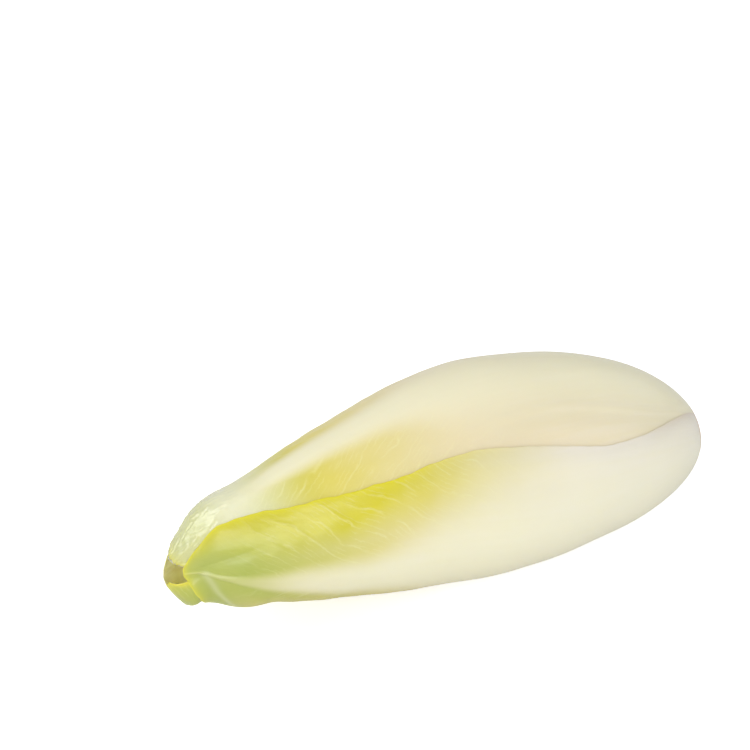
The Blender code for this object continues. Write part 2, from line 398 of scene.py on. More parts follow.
@dataclass
class LeafStack:
    """The leaves of the head in order, outermost first, and how they lie on each other."""

    form: HeadForm
    leaves: list[LeafForm]
    gap: float = 0.00007
    blade_at_base: float = 0.00120
    blade_at_tip: float = 0.00078
    rib_layers: float = 0.080
    rib_spread: float = 30.0
    rib_fade: float = 1.3
    margin_width: float = 0.0075
    margin_share: Pair = (0.06, 0.36)
    margin_rise: Rise = Rise(0.10, 0.60)
    close_tuck: Pair = (0.0004, 0.0060)
    loose_tuck: Pair = (0.004, 0.016)
    close_tip_tuck: Pair = (0.002, 0.012)
    loose_tip_tuck: Pair = (0.006, 0.028)
    hood_reach: Pair = (0.945, 0.995)
    hood_curl: float = 0.80

    def apart(self, leaf: LeafForm, station: Array, turn: Array) -> Array:
        """Give the signed angle from a leaf's middle, between -180 and 180."""
        middle, _ = leaf.span(station)
        return (turn - middle + 180.0) % 360.0 - 180.0

    def margins(self, leaf: LeafForm, station: Array, turn: Array) -> tuple[Array, Array]:
        """Measure how far inside a leaf's outline a point is.

        Args:
            leaf: The leaf.
            station: Where along the head.
            turn: Where round it.

        Returns:
            The distances in metres from its nearer side and from its tip edge; below 0 outside it.
        """
        _, half = leaf.span(station)
        apart = self.apart(leaf, station, turn)
        side = np.radians(half - np.abs(apart)) * self.form.layer_scale(station)
        return side, (leaf.end(apart / half) - station) * self.form.length

    def thickness(self, leaf: LeafForm, station: Array, turn: Array) -> Array:
        """Give a leaf's thickness: a stout rib, and a blade that thins out to its margin.

        Args:
            leaf: The leaf.
            station: Where along the head.
            turn: Where round it.

        Returns:
            The thickness in layers.
        """
        share = np.clip(station / leaf.tip, 0.0, 1.0)
        blade = self.blade_at_base + (self.blade_at_tip - self.blade_at_base) * share
        side, end = self.margins(leaf, station, turn)
        inside = ease(np.minimum(side, end), 0.0, self.margin_width)
        low, high = self.margin_share
        thin = low + (high - low) * self.margin_rise.at(station)
        blade = blade * (thin + (1.0 - thin) * inside)
        fade = np.clip((share - self.form.widest) / (1.0 - self.form.widest), 0.0, 1.0)
        hump = np.exp(-0.5 * (self.apart(leaf, station, turn) / self.rib_spread) ** 2)
        rib = self.rib_layers * (1.0 - fade ** self.rib_fade) * hump
        return blade / self.form.layer_scale(station) + rib

    def cover(self, leaf: LeafForm, station: Array, turn: Array, close: bool) -> Array:
        """Tell where a leaf covers what lies under it.

        Args:
            leaf: The covering leaf.
            station: Where along the head.
            turn: Where round it.
            close: Whether what is under it hugs its edges.

        Returns:
            1 under the leaf, 0 clear of it, and a slope between.
        """
        side, end = self.margins(leaf, station, turn)
        side_tuck = self.close_tuck if close else self.loose_tuck
        tip_tuck = self.close_tip_tuck if close else self.loose_tip_tuck
        return ease(-side, side_tuck[1], side_tuck[0]) * ease(-end, tip_tuck[1], tip_tuck[0])

    def top(self, leaf: LeafForm, station: Array, turn: Array) -> Array:
        """Give the layer of a leaf's outer face, under every leaf that lies over it.

        Args:
            leaf: The leaf.
            station: Where along the head.
            turn: Where round it.

        Returns:
            The layer; it falls towards the axis where a hooded leaf folds over the tip.
        """
        gap = self.gap / self.form.layer_scale(station)
        layer = np.ones_like(station)
        for over in self.leaves[:leaf.rank]:
            cover = self.cover(over, station, turn, leaf.role is LeafRole.OUTER)
            layer = layer - cover * (self.thickness(over, station, turn) + gap)
        if leaf.hooded:
            layer = layer * (1.0 - self.hood_curl * ease(station, *self.hood_reach))
        return layer


class Bench:
    """Hand work on one piece at a time."""

    @staticmethod
    def clear() -> None:
        """Leave nothing selected."""
        bpy.ops.object.select_all(action="DESELECT")

    @staticmethod
    def take(piece: Piece) -> None:
        """Select one piece alone, and make it the active one.

        Args:
            piece: The piece.
        """
        Bench.clear()
        piece.select_set(True)
        bpy.context.view_layer.objects.active = piece

    @staticmethod
    def slab(name: str, rows: int, columns: int) -> Piece:
        """Make a closed slab to wrap: a grid, extruded downwards.

        Args:
            name: The piece's name.
            rows: Cells along Y.
            columns: Cells along X.

        Returns:
            The slab, from -1 to 1 in X and Y and from -1 to 0 in Z.
        """
        Bench.clear()
        bpy.ops.mesh.primitive_grid_add(x_subdivisions=columns, y_subdivisions=rows, size=2.0)
        piece = bpy.context.object
        piece.name = piece.data.name = name
        bpy.ops.object.mode_set(mode="EDIT")
        bpy.ops.mesh.select_all(action="SELECT")
        bpy.ops.mesh.extrude_region_move(TRANSFORM_OT_translate={"value": (0.0, 0.0, -1.0)})
        bpy.ops.object.mode_set(mode="OBJECT")
        return piece

    @staticmethod
    def column(name: str, sides: int, rings: int) -> Piece:
        """Make a round column to shape: a filled circle, extruded into rings.

        Args:
            name: The piece's name.
            sides: How many sides it has.
            rings: How many rings it has, each 1 high.

        Returns:
            The column, 1 in radius, standing up from Z = 0.
        """
        Bench.clear()
        bpy.ops.mesh.primitive_circle_add(vertices=sides, radius=1.0, fill_type="NGON")
        piece = bpy.context.object
        piece.name = piece.data.name = name
        bpy.ops.object.mode_set(mode="EDIT")
        bpy.ops.mesh.select_all(action="SELECT")
        for _ in range(rings):
            bpy.ops.mesh.extrude_region_move(TRANSFORM_OT_translate={"value": (0.0, 0.0, 1.0)})
        bpy.ops.object.mode_set(mode="OBJECT")
        return piece

    @staticmethod
    def points(piece: Piece) -> Array:
        """Read the places of a piece's vertices, one row each."""
        flat = np.zeros(len(piece.data.vertices) * 3, np.float32)
        piece.data.vertices.foreach_get("co", flat)
        return flat.reshape(-1, 3).astype(float)

    @staticmethod
    def place(piece: Piece, points: Array) -> None:
        """Move every vertex of a piece, and turn its faces outwards again.

        Args:
            piece: The piece.
            points: The new places, one row for each vertex.
        """
        piece.data.vertices.foreach_set("co", points.astype(np.float32).ravel())
        piece.data.update()
        Bench.take(piece)
        bpy.ops.object.mode_set(mode="EDIT")
        bpy.ops.mesh.select_all(action="SELECT")
        bpy.ops.mesh.normals_make_consistent(inside=False)
        bpy.ops.object.mode_set(mode="OBJECT")

    @staticmethod
    def smooth(piece: Piece, angle: float = 50.0) -> None:
        """Shade a piece smooth, except over edges sharper than an angle in degrees."""
        Bench.take(piece)
        bpy.ops.object.shade_smooth_by_angle(angle=math.radians(angle))

    @staticmethod
    def note(piece: Piece, name: str, values: Array) -> None:
        """Keep one number at every vertex, for the piece's material to read.

        Args:
            piece: The piece.
            name: The attribute's name.
            values: One number for each vertex.
        """
        attribute = piece.data.attributes.new(name, "FLOAT", "POINT")
        attribute.data.foreach_set("value", values.astype(np.float32))

    @staticmethod
    def join_head(piece: Piece, node: str, slot: str, material: Finish) -> None:
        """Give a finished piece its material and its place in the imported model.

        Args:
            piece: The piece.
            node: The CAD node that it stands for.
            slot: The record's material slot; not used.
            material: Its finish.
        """
        piece.data.materials.clear()
        piece.data.materials.append(material)
        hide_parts(node)
        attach(piece, "root")
        LOG.info("%s: %d faces", piece.name, len(piece.data.polygons))


class Desk:
    """Places and wires the nodes of one material or node group."""

    def __init__(self, tree: Tree) -> None:
        """Take the tree to work on."""
        self.tree = tree

    def put(self, kind: str, feeds: dict | None = None, **settings: object) -> bpy.types.Node:
        """Place one node.

        Args:
            kind: The node's type.
            feeds: A value or an output socket for each input, by name or number.
            **settings: The node's own properties.

        Returns:
            The node.
        """
        node = self.tree.nodes.new(kind)
        for name, value in settings.items():
            setattr(node, name, value)
        for key, value in (feeds or {}).items():
            self.feed(node.inputs[key], value)
        return node

    def feed(self, socket: Socket, value: object) -> None:
        """Wire an output socket into an input, or set the input's value.

        Args:
            socket: The input.
            value: An output socket, or a plain value.
        """
        if isinstance(value, Socket):
            self.tree.links.new(value, socket)
        else:
            socket.default_value = value

    def sum(self, operation: str, *terms: object, clamp: bool = False) -> Socket:
        """Do one sum on numbers.

        Args:
            operation: The Math node's operation.
            *terms: Numbers or output sockets.
            clamp: Whether the result is kept between 0 and 1.

        Returns:
            The result's socket.
        """
        feeds = dict(enumerate(terms))
        return self.put("ShaderNodeMath", feeds, operation=operation, use_clamp=clamp).outputs[0]

    def rise(self, value: object, start: float, end: float) -> Socket:
        """Rise smoothly from 0 to 1 between two values.

        Args:
            value: The number to ease.
            start: Where the result is still 0.
            end: Where the result reaches 1; it may be below start.

        Returns:
            The result's socket.
        """
        low, high = min(start, end), max(start, end)
        feeds = {0: value, 1: low, 2: high, 3: float(start > end), 4: float(start < end)}
        node = self.put("ShaderNodeMapRange", feeds, interpolation_type="SMOOTHSTEP")
        return node.outputs[0]

    def blend(self, factor: object, under: object, over: object) -> Socket:
        """Lay one colour over another.

        Args:
            factor: How much of the upper colour shows.
            under: The lower colour.
            over: The upper colour.

        Returns:
            The mixed colour's socket.
        """
        def full(colour: object) -> object:
            """Add the fourth channel to a plain colour."""
            return (*colour, 1.0) if isinstance(colour, tuple) else colour

        feeds = {0: factor, 6: full(under), 7: full(over)}
        return self.put("ShaderNodeMix", feeds, data_type="RGBA").outputs[2]

    def noise(self, vector: object, scale: float, detail: float = 2.0) -> Socket:
        """Place a soft noise and give its value."""
        feeds = {"Vector": vector, "Scale": scale, "Detail": detail}
        return self.put("ShaderNodeTexNoise", feeds).outputs[0]

    def read(self, name: str) -> Socket:
        """Read a number kept at the piece's vertices."""
        return self.put("ShaderNodeAttribute", attribute_name=name).outputs["Fac"]


def group_sockets(group: Tree, ins: dict[str, float], outs: tuple[str, ...]) -> None:
    """Give a node group its named numbers in and out.

    Args:
        group: The group.
        ins: The inputs, with their defaults.
        outs: The outputs.
    """
    for name, value in ins.items():
        socket = group.interface.new_socket(name, in_out="INPUT", socket_type="NodeSocketFloat")
        socket.default_value = value
    for name in outs:
        group.interface.new_socket(name, in_out="OUTPUT", socket_type="NodeSocketFloat")


def make_vein_group() -> Tree:
    """Build the node group that draws the veins which branch off a midrib.

    Returns:
        The group: the vein phase and the place on the leaf go in, two masks come out.
    """
    group = bpy.data.node_groups.new("branching_veins", "ShaderNodeTree")
    ins = {"Phase": 0.0, "Over": 0.0, "Along": 0.0, "Width": BRANCH_WIDTH}
    group_sockets(group, ins, ("Branches", "Twigs"))
    desk = Desk(group)
    come = desk.put("NodeGroupInput").outputs
    place = desk.put("ShaderNodeCombineXYZ", {0: come["Over"], 1: come["Along"]}).outputs[0]
    sway = desk.sum("MULTIPLY_ADD", desk.noise(place, BRANCH_SCALE, 3.0), VEIN_SWAY, -VEIN_SWAY / 2.0)
    branch = desk.sum("PINGPONG", desk.sum("ADD", come["Phase"], sway), 0.5)
    shown = desk.rise(desk.noise(place, BRANCH_SCALE), *BRANCH_PATCHES)
    drawn = desk.rise(desk.sum("DIVIDE", branch, come["Width"]), 1.0, 0.0)
    branches = desk.sum("MULTIPLY", drawn, shown)
    fine = desk.sum("MULTIPLY_ADD", desk.noise(place, TWIG_SCALE, 3.0), VEIN_SWAY, -VEIN_SWAY / 2.0)
    twig = desk.sum("PINGPONG", desk.sum("MULTIPLY_ADD", come["Phase"], TWIGS_PER_BRANCH, fine), 0.5)
    patch = desk.rise(desk.noise(place, TWIG_PATCH_SCALE), *TWIG_PATCHES)
    twigs = desk.sum("MULTIPLY", desk.rise(twig, TWIG_WIDTH, 0.0), patch)
    desk.put("NodeGroupOutput", {"Branches": branches, "Twigs": twigs})
    return group


def make_flesh_group() -> Tree:
    """Build the node group for the fine grain and the soft mottle of plant flesh.

    Returns:
        The group: a scale goes in, a soft mottle and a fine grain come out.
    """
    group = bpy.data.node_groups.new("plant_flesh", "ShaderNodeTree")
    group_sockets(group, {"Scale": 1.0}, ("Mottle", "Grain"))
    desk = Desk(group)
    scale = desk.put("NodeGroupInput").outputs["Scale"]
    place = desk.put("ShaderNodeTexCoord").outputs["Object"]
    sized = desk.put("ShaderNodeVectorMath", {0: place, "Scale": scale}, operation="SCALE").outputs[0]
    mottle = desk.noise(sized, MOTTLE_SCALE, 3.0)
    cells = desk.put("ShaderNodeTexVoronoi", {"Vector": sized, "Scale": CELL_SCALE}).outputs["Distance"]
    grain = desk.sum("ADD", desk.sum("MULTIPLY", cells, CELL_SHARE), desk.noise(sized, GRAIN_SCALE, 4.0))
    desk.put("NodeGroupOutput", {"Mottle": mottle, "Grain": grain})
    return group


def new_finish(name: str) -> tuple[Finish, Desk, bpy.types.NodeInputs]:
    """Start a material.

    Args:
        name: The material's name.

    Returns:
        The material, a desk for its nodes, and its shader's inputs.
    """
    material = bpy.data.materials.new(name)
    material.use_nodes = True
    return material, Desk(material.node_tree), material.node_tree.nodes["Principled BSDF"].inputs


@dataclass(frozen=True)
class LeafSkin:
    """The waxy skin of a leaf: ivory below, yellow and green towards the tip and the margins."""

    name: str
    ivory: Colour = linear(245, 235, 219)
    cream: Colour = linear(242, 230, 194)
    yellow: Colour = linear(223, 209, 22)
    green: Colour = linear(175, 187, 84)
    rib: Colour = linear(250, 248, 216)
    vein: Colour = linear(252, 249, 196)
    edge: Colour = linear(234, 224, 48)
    browned: Colour = linear(214, 170, 122)
    roughness: float = 0.36
    coat: float = 0.22
    coat_roughness: float = 0.13
    subsurface: float = 0.22
    subsurface_scale: float = 0.0032
    subsurface_radius: Colour = (1.0, 0.85, 0.50)
    streak_scale: float = 520.0
    streak_length: float = 0.07
    mottle_share: float = 0.7
    least_tint: float = 0.65
    ivory_share: float = 0.55
    pale_and_highlight_share: float = 0.60
    twig_share: float = 0.15
    branch_share: float = 0.21
    rough_grain: float = 0.10
    vein_rise: float = 0.8
    grain_rise: float = 0.25
    bump: Pair = (0.35, 0.0002)
    gloss: float = 0.6
    sheerness: float = 0.7

    def make(self, veins: Tree, flesh: Tree) -> Finish:
        """Build the material.

        Args:
            veins: The group that draws the branching veins.
            flesh: The group for grain and mottle.

        Returns:
            The material.
        """
        material, desk, shader = new_finish(self.name)
        mottle, grain = desk.put("ShaderNodeGroup", node_tree=flesh).outputs
        phase, over, along = desk.read("phase"), desk.read("over"), desk.read("along")
        feeds = {"Phase": phase, "Over": over, "Along": along}
        branches, twigs = desk.put("ShaderNodeGroup", feeds, node_tree=veins).outputs
        ribbed = desk.read("ribbed")
        lengthwise = {0: over, 1: desk.sum("MULTIPLY", along, self.streak_length)}
        stretched = desk.put("ShaderNodeCombineXYZ", lengthwise).outputs[0]
        streaks = desk.noise(stretched, self.streak_scale, 3.0)
        tint = desk.sum("MULTIPLY_ADD", mottle, self.mottle_share, self.least_tint)
        cloud = desk.sum("MULTIPLY_ADD", mottle, self.mottle_share, -self.ivory_share)
        cloud = desk.sum("MULTIPLY_ADD", streaks, self.mottle_share, cloud)
        cloud = desk.sum("ADD", cloud, desk.read("creamy"), clamp=True)
        colour = desk.blend(cloud, self.ivory, self.cream)
        for name, over_colour in (("yellowed", self.yellow), ("greened", self.green)):
            shown = desk.sum("MULTIPLY", desk.read(name), tint, clamp=True)
            colour = desk.blend(shown, colour, over_colour)
        # The pale rib colour, also laid over the upper leaf's hood as painted highlight.
        colour = desk.blend(desk.sum("MULTIPLY", desk.read("pale_and_highlight"), self.pale_and_highlight_share), colour, self.rib)
        open_blade = desk.sum("MULTIPLY", desk.read("veined"), desk.sum("SUBTRACT", 1.0, ribbed))
        drawn = desk.sum("MULTIPLY", branches, self.branch_share)
        drawn = desk.sum("MULTIPLY_ADD", twigs, self.twig_share, drawn)
        drawn = desk.sum("MULTIPLY", drawn, open_blade, clamp=True)
        colour = desk.blend(drawn, colour, self.vein)
        colour = desk.blend(desk.read("edged"), colour, self.edge)
        colour = desk.blend(desk.read("browned"), colour, self.browned)
        desk.feed(shader["Base Color"], colour)
        rough = desk.sum("MULTIPLY_ADD", grain, self.rough_grain, self.roughness - self.rough_grain / 2.0)
        desk.feed(shader["Roughness"], rough)
        height = desk.sum("MULTIPLY_ADD", grain, self.grain_rise, streaks)
        height = desk.sum("MULTIPLY_ADD", drawn, self.vein_rise, height)
        strength, distance = self.bump
        bump = desk.put("ShaderNodeBump", {"Strength": strength, "Distance": distance, "Height": height})
        desk.feed(shader["Normal"], bump.outputs[0])
        coat = desk.sum("MULTIPLY_ADD", desk.read("glossy"), self.gloss, self.coat)
        desk.feed(shader["Coat Weight"], coat)
        shader["Coat Roughness"].default_value = self.coat_roughness
        sheer = desk.sum("MULTIPLY_ADD", desk.read("sheer"), self.sheerness, self.subsurface)
        desk.feed(shader["Subsurface Weight"], sheer)
        shader["Subsurface Radius"].default_value = self.subsurface_radius
        shader["Subsurface Scale"].default_value = self.subsurface_scale
        return material


@dataclass(frozen=True)
class CutFlesh:
    """The flesh of the core: ivory flanks, and a cut face that has dried and browned."""

    name: str
    flesh: Colour = linear(240, 229, 204)
    pith: Colour = linear(246, 238, 216)
    ring: Colour = linear(196, 146, 98)
    browned: Colour = linear(178, 118, 72)
    roughness: float = 0.55
    rough_grain: float = 0.2
    bump: Pair = (0.5, 0.0003)
    ring_grain: Pair = (0.45, 0.95)
    least_brown: float = 0.35
    subsurface: float = 0.15
    subsurface_scale: float = 0.003
    subsurface_radius: Colour = (1.0, 0.7, 0.4)

    def make(self, flesh: Tree) -> Finish:
        """Build the material.

        Args:
            flesh: The group for grain and mottle.

        Returns:
            The material.
        """
        material, desk, shader = new_finish(self.name)
        mottle, grain = desk.put("ShaderNodeGroup", node_tree=flesh).outputs
        colour = desk.blend(mottle, self.flesh, self.pith)
        ringed = desk.sum("MULTIPLY", desk.read("ringed"), desk.rise(grain, *self.ring_grain))
        colour = desk.blend(ringed, colour, self.ring)
        uneven = desk.sum("ADD", mottle, self.least_brown)
        patchy = desk.sum("MULTIPLY", desk.read("browned"), uneven, clamp=True)
        colour = desk.blend(patchy, colour, self.browned)
        desk.feed(shader["Base Color"], colour)
        rough = desk.sum("MULTIPLY_ADD", grain, self.rough_grain, self.roughness - self.rough_grain / 2.0)
        desk.feed(shader["Roughness"], rough)
        strength, distance = self.bump
        bump = desk.put("ShaderNodeBump", {"Strength": strength, "Distance": distance, "Height": grain})
        desk.feed(shader["Normal"], bump.outputs[0])
        shader["Subsurface Weight"].default_value = self.subsurface
        shader["Subsurface Radius"].default_value = self.subsurface_radius
        shader["Subsurface Scale"].default_value = self.subsurface_scale
        return material


@dataclass
class LeafPaint:
    """How the veins and the colours of one leaf spread over its vertices."""

    form: HeadForm
    leaf: LeafForm
    station: Array
    turn: Array
    margin: Array
    vein_spacing: float = 0.0085
    vein_slope: float = 1.5
    vein_step: float = 0.4
    long_sway: Triple = (0.12, 310.0, 160.0)
    short_sway: Pair = (0.08, 420.0)
    rib_reach: Pair = (1.60, 0.30)
    rib_cover: float = 0.85
    rib_opening: Rise = Rise(0.76, 0.94, 0.8)
    edge_narrowing: Rise = Rise(0.84, 0.98)
    creaming: Rise = Rise(0.22, 0.60)
    rib_ivory: float = 0.4
    edge_ungreen: float = 0.75
    belly_light_turns: Pair = (-10.0, -45.0)
    belly_light_end: Rise = Rise(0.93, 0.87)
    line_rise: Rise = Rise(0.45, 0.75)
    line_width: float = 0.0009
    line_share: float = 0.85
    tan: Rise = Rise(0.18, 0.02, 0.26)
    tan_width: float = 0.0012
    cut_brown: Rise = Rise(0.012, 0.0, 0.75)
    blush_width: float = 0.030
    tip_colour: Rise = Rise(0.88, 0.95, 0.55)
    seam_share: float = 0.42
    seam_width: float = 0.0009
    seam_turns: Pair = (32.0, 20.0)
    blister_rise: Rise = Rise(0.80, 0.92)

    def __post_init__(self) -> None:
        """Measure each vertex from the leaf's midrib."""
        from_rib = self.turn - self.leaf.rib_line.at(self.station)
        self.from_rib = (from_rib + 180.0) % 360.0 - 180.0
        self.scale = self.form.layer_scale(self.station)
        self.over = np.radians(self.from_rib) * self.scale
        self.along = self.station * self.form.length
        self.ribbed = ease(np.abs(self.from_rib) / self.leaf.rib_half.at(self.station), *self.rib_reach)

    def tints(self) -> dict[str, Array]:
        """Work out where the leaf is ribbed, veined, yellow, green and browned.

        Returns:
            The numbers for each vertex, by name.
        """
        leaf, station = self.leaf, self.station
        blade = 1.0 - self.rib_cover * self.ribbed * (1.0 - self.rib_opening.at(station))
        near_edge = self.near_edge()
        off_rib = 1.0 - self.rib_ivory * self.ribbed
        return {
            "over": self.over, "along": self.along, "phase": self.phase(), "ribbed": self.ribbed,
            "pale_and_highlight": self.pale_and_highlight(), "veined": leaf.veins_rise.at(station) * leaf.veins_end.at(station),
            "yellowed": np.maximum(leaf.blade_yellow.at(station) * blade,
                                   leaf.edge_yellow.at(station) * near_edge),
            "greened": self.greened(blade, near_edge),
            "edged": self.line_rise.at(station) * self.rim(self.line_width) * self.line_share,
            "browned": self.browned(),
            "creamy": leaf.warmth + (1.0 - leaf.warmth) * self.creaming.at(station) * off_rib,
            "glossy": (leaf.blistered > 0.0) * self.blister_rise.at(station),
        }

    def rim(self, width: float) -> Array:
        """Give 1 on the leaf's edge, and less away from it."""
        return np.exp(-np.maximum(self.margin, 0.0) / width)

    def phase(self) -> Array:
        """Number the veins that branch off the midrib, with a waver.

        Returns:
            Numbers that are whole in the middle of each vein.
        """
        height, along_pace, over_pace = self.long_sway
        sway = height * np.sin(self.along * along_pace + self.over * over_pace + self.leaf.rank)
        height, over_pace = self.short_sway
        sway = sway + height * np.sin(self.over * over_pace)
        slanted = (self.along - np.abs(self.over) * self.vein_slope) / self.vein_spacing
        return slanted + sway + self.vein_step * (self.over > 0.0)

    def near_edge(self) -> Array:
        """Tell how near the leaf's two sides are.

        Returns:
            1 on either side, and less away from it.
        """
        middle, half = self.leaf.span(self.station)
        wide, narrow = self.leaf.edge_reach
        reach = wide + (narrow - wide) * self.edge_narrowing.at(self.station)
        from_high = np.radians(middle + half - self.turn) * self.scale
        from_low = np.radians(self.turn - middle + half) * self.scale
        return np.maximum(bell(from_high, reach), bell(from_low, narrow))

    def greened(self, blade: Array, near_edge: Array) -> Array:
        """Spread the green over the blade, with less of it at the sides, and less on the belly as painted
        light bounced up from the floor.

        Args:
            blade: How far the blade is clear of the rib.
            near_edge: How near the leaf's sides are.

        Returns:
            The share of green.
        """
        side = 1.0 - self.edge_ungreen * near_edge ** 3
        # Painted light: less green low on the belly stands in for light bounced up from the floor.
        belly = self.leaf.belly_painted_light * ease(self.from_rib, *self.belly_light_turns)
        belly = 1.0 - belly * self.belly_light_end.at(self.station)
        return self.leaf.green.at(self.station) * blade * side * belly

    def browned(self) -> Array:
        """Brown the leaf's edge near the butt and its cut base, and add a blush.

        Returns:
            The share of brown.
        """
        tanned = self.tan.at(self.station) * self.rim(self.tan_width)
        browned = np.maximum(tanned, self.cut_brown.at(self.station))
        return np.maximum(browned, self.leaf.blush.at(self.station) * bell(self.margin, self.blush_width))

    def pale_and_highlight(self) -> Array:
        """Pale the rib, a blade paled partly as painted highlight, and the seam over a leaf tip that lies
        beneath.

        Returns:
            The share of the rib's pale colour.
        """
        leaf, station = self.leaf, self.station
        pale_and_highlight = self.ribbed * (1.0 - leaf.rib_fade.at(station))
        # Painted highlight: the upper leaf's hood is paled towards the rib colour, partly its own pale tone
        # and partly the highlight of the light behind it.
        pale_and_highlight = np.maximum(pale_and_highlight, leaf.pale_and_painted_highlight.at(station) * (1.0 - self.tip_colour.at(station)))
        if leaf.seam is not None:
            away = (station - leaf.seam.at(self.turn)) * self.form.length
            seam = self.seam_share * bell(away, self.seam_width) * ease(self.turn, *self.seam_turns)
            pale_and_highlight = np.maximum(pale_and_highlight, seam)
        return pale_and_highlight


@dataclass
class Leaves:
    """The eighteen wrapped leaves."""

    stack: LeafStack
    outer_skin: Finish
    inner_skin: Finish
    even_share: float = 0.55
    round_off: float = 0.0005
    least_edge: float = 0.12
    carved_from: float = 0.004
    blade_drop: float = 0.00024
    vein_height: float = 0.00007
    vein_width: float = 0.15
    ridge_height: float = 0.00030
    ridge_reach: Pair = (0.0055, 0.0014)
    ridge_start: Rise = Rise(0.02, 0.08)
    ridge_end: Rise = Rise(0.50, 0.40)
    blister_rows: Triple = (3100.0, 1.7, 1300.0)
    blister_columns: Triple = (2700.0, 2.1, 1500.0)
    # Painted light: the shares of yellow, green and edge line kept on inner faces, which lighten the shaded
    # cup at the tip.
    inside_painted_light: tuple[tuple[str, float], ...] = (("yellowed", 0.08), ("greened", 0.32), ("edged", 0.15))
    sheer_inside: Rise = Rise(0.88, 0.96)

    def build(self) -> None:
        """Model and dress every leaf."""
        for leaf in self.stack.leaves:
            skin = self.outer_skin if leaf.role is LeafRole.OUTER else self.inner_skin
            Bench.join_head(self.wrap(leaf), leaf.node, leaf.role.value, skin)

    def spread(self, share: Array) -> Array:
        """Crowd evenly spread numbers from 0 to 1 towards both ends."""
        crowded = (1.0 - np.cos(np.pi * share)) / 2.0
        return self.even_share * share + (1.0 - self.even_share) * crowded

    def wrap(self, leaf: LeafForm) -> Piece:
        """Model one leaf: a slab, wrapped round the head between two layers.

        Args:
            leaf: The leaf's form.

        Returns:
            The leaf's piece, with the numbers that its skin reads.
        """
        form = self.stack.form
        piece = Bench.slab(f"{leaf.node}_leaf", leaf.rows, leaf.columns)
        flat = Bench.points(piece)
        across = 2.0 * self.spread((flat[:, 0] + 1.0) / 2.0) - 1.0
        station = self.spread((flat[:, 1] + 1.0) / 2.0) * leaf.end(across)
        inner = flat[:, 2] < -0.5
        middle, half = leaf.span(station)
        turn = middle + across * half
        thick = self.stack.thickness(leaf, station, turn)
        top = self.stack.top(leaf, station, turn)
        side, end = self.stack.margins(leaf, station, turn)
        margin = np.minimum(side, end)
        near = 1.0 - np.clip(margin / self.round_off, 0.0, 1.0)
        pinch = (1.0 - self.least_edge) * (1.0 - np.sqrt(1.0 - near ** 2)) * thick / 2.0
        paint = LeafPaint(form, leaf, station, turn, margin)
        tints = paint.tints()
        # Painted light: the inner faces get less yellow, green and edge line, so the shaded cup at the tip
        # looks lit.
        for name, share in self.inside_painted_light:
            tints[name] = np.where(inner, share * tints[name], tints[name])
        tints["sheer"] = np.where(inner, self.sheer_inside.at(station), 0.0)
        carved = self.carved(paint, tints)
        layer = np.where(inner, top - thick + pinch, top - pinch - carved / paint.scale)
        points = form.point(layer, station, turn)
        points[:, 2] = np.maximum(points[:, 2], 0.0)
        Bench.place(piece, points)
        Bench.smooth(piece)
        for name, values in tints.items():
            Bench.note(piece, name, values)
        return piece

    def carved(self, paint: LeafPaint, tints: dict[str, Array]) -> Array:
        """Carve the blade's outer face so that its rib, veins, ridge and blisters stand out.

        Args:
            paint: Where the leaf's vertices lie.
            tints: How far each is ribbed and veined.

        Returns:
            The depth in metres.
        """
        leaf, away = paint.leaf, ease(paint.margin, 0.0, self.carved_from)
        off_rib = 1.0 - tints["ribbed"]
        phase = tints["phase"]
        vein = ease(np.abs(phase - np.round(phase)), self.vein_width, 0.0)
        carved = self.blade_drop * off_rib * away
        carved = carved - self.vein_height * vein * tints["veined"] * off_rib * away
        carved = np.maximum(carved, 0.0) + self.ridge_side(paint)
        blisters = leaf.blistered * self.blisters(paint.over, paint.along)
        return carved + blisters * paint.blister_rise.at(paint.station)

    @staticmethod
    def weave(run: Array, cross: Array, pace: float, sway: float, turns: float) -> Array:
        """Give waves along one way that sway across the other."""
        return np.sin(pace * run + sway * np.sin(turns * cross))

    def blisters(self, over: Array, along: Array) -> Array:
        """Give the small uneven blisters of a crumpled skin, from 0 to 1."""
        rows = self.weave(over, along, *self.blister_rows)
        return 0.5 + 0.5 * rows * self.weave(along, over, *self.blister_columns)

    def ridge_side(self, paint: LeafPaint) -> Array:
        """Give the shallow troughs that leave a soft ridge between them.

        Args:
            paint: Where the leaf's vertices lie.

        Returns:
            The depth in metres, 0 on a leaf with no such ridge.
        """
        station = paint.station
        if paint.leaf.ridge is None:
            return np.zeros_like(station)
        away = np.radians(paint.turn - paint.leaf.ridge.at(station)) * paint.scale
        wide, narrow = self.ridge_reach
        side = bell(away, wide) - bell(away, narrow)
        return self.ridge_height * side * self.ridge_start.at(station) * self.ridge_end.at(station)


